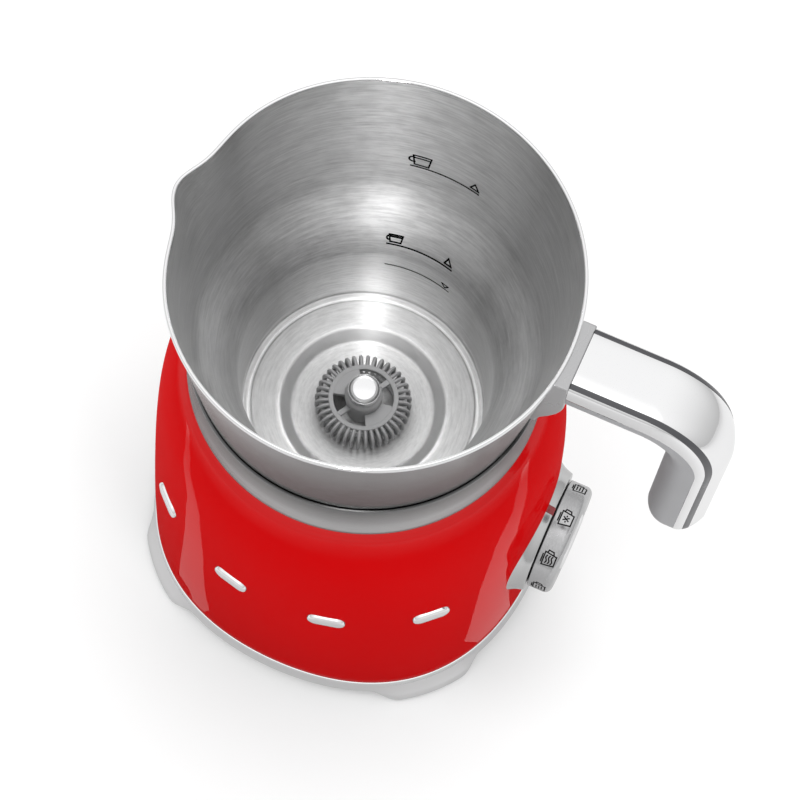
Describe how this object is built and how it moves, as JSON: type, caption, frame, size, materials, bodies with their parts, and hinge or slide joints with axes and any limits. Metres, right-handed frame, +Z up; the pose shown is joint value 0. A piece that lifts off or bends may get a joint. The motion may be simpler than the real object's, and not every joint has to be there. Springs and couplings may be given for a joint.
{
  "type": "milk frothing pitcher",
  "caption": "Milk frother with a powered round base, a lift-out steel jug with handle and spout, a magnetic whisk and a side knob with a start button.",
  "frame": {"origin": "on the table, at the centre of the base, on the axis of jug, whisk and motor", "axes": "+Z up along the jug axis, +X towards the handle and the knob, -Y towards the front with the badge bars"},
  "size_m": [0.1713, 0.1544, 0.1933],
  "materials": {
    "shell_red": "gloss",
    "chrome_trim": "polished",
    "silver_collar": "satin polish",
    "jug_steel": "brushed",
    "knob_metal": "brushed",
    "bracket_satin": "satin",
    "dark_inlay": "satin",
    "grey_grip": "satin",
    "whisk_grey": "matte",
    "mark_red": "gloss",
    "light_clear": "clear",
    "dark_plastic": "matte",
    "white_plastic": "matte",
    "black_rubber": "matte",
    "copper": "enamelled",
    "ferrite": "matte",
    "magnet": "nickel plated",
    "steel_parts": "machined",
    "zinc_screw": "zinc plated",
    "board_green": "solder mask",
    "component_black": "matte",
    "alu_sink": "extruded"
  },
  "bodies": {
    "base": {"outer_shell": "shell_red", "badge_bars": "chrome_trim", "collar_ring": "silver_collar", "base_ring": "chrome_trim", "bottom_cover": "dark_plastic", "foot_ring": "black_rubber", "cover_screws": "zinc_screw", "well_liner": "dark_plastic", "temperature_sensor": "steel_parts", "coil_former": "white_plastic", "induction_coil": "copper", "ferrite_bars": "ferrite", "motor_bracket": "steel_parts", "motor_can": "steel_parts", "motor_screws": "zinc_screw", "control_board": "board_green", "board_screws": "zinc_screw", "board_components": "component_black", "heat_sink": "alu_sink", "cord_grip": "black_rubber", "power_cord": "black_rubber", "cord_clamp": "dark_plastic", "knob_bezel": "silver_collar", "index_mark": "mark_red", "encoder_body": "dark_plastic", "knob_board": "board_green", "tact_switch": "component_black"},
    "drive": {"motor_shaft": "steel_parts", "drive_disc": "white_plastic", "drive_magnets": "magnet"},
    "knob": {"knob_ring": "knob_metal", "knob_carrier": "dark_plastic", "light_ring": "light_clear", "encoder_shaft": "steel_parts"},
    "button": {"start_button": "chrome_trim", "button_stem": "dark_plastic"},
    "jug": {"jug_shell": "jug_steel", "jug_base_plate": "steel_parts", "jug_post": "steel_parts", "handle_bracket": "bracket_satin", "handle_core": "grey_grip", "handle_top_shell": "chrome_trim", "handle_inlay_strips": "dark_inlay", "handle_screws": "zinc_screw"},
    "whisk_hub": {"whisk_hub": "whisk_grey", "whisk_cap": "chrome_trim"},
    "whisk_disc": {"whisk_disc": "whisk_grey", "whisk_magnets": "magnet"}
  },
  "joints": [
    {"name": "drive_spin", "type": "hinge", "parent": "base", "child": "drive", "pos_m": [0, 0, 0.07], "axis": [0, 0, 1], "continuous": true},
    {"name": "jug_lift", "type": "slide", "parent": "base", "child": "jug", "axis": [0, 0, 1], "range_m": [0, 0.13]},
    {"name": "whisk_lift", "type": "slide", "parent": "jug", "child": "whisk_hub", "axis": [0, 0, 1], "range_m": [0, 0.12]},
    {"name": "whisk_spin", "type": "hinge", "parent": "whisk_hub", "child": "whisk_disc", "pos_m": [0, 0, 0.093], "axis": [0, 0, 1], "continuous": true},
    {"name": "knob_turn", "type": "hinge", "parent": "base", "child": "knob", "pos_m": [0.068, 0, 0.05], "axis": [1, 0, 0], "continuous": true},
    {"name": "button_press", "type": "slide", "parent": "base", "child": "button", "axis": [-1, 0, 0], "range_m": [0, 0.0015]}
  ],
  "couplings": [
    {"joint": "whisk_spin", "follows": "drive_spin", "ratio": 1}
  ]
}
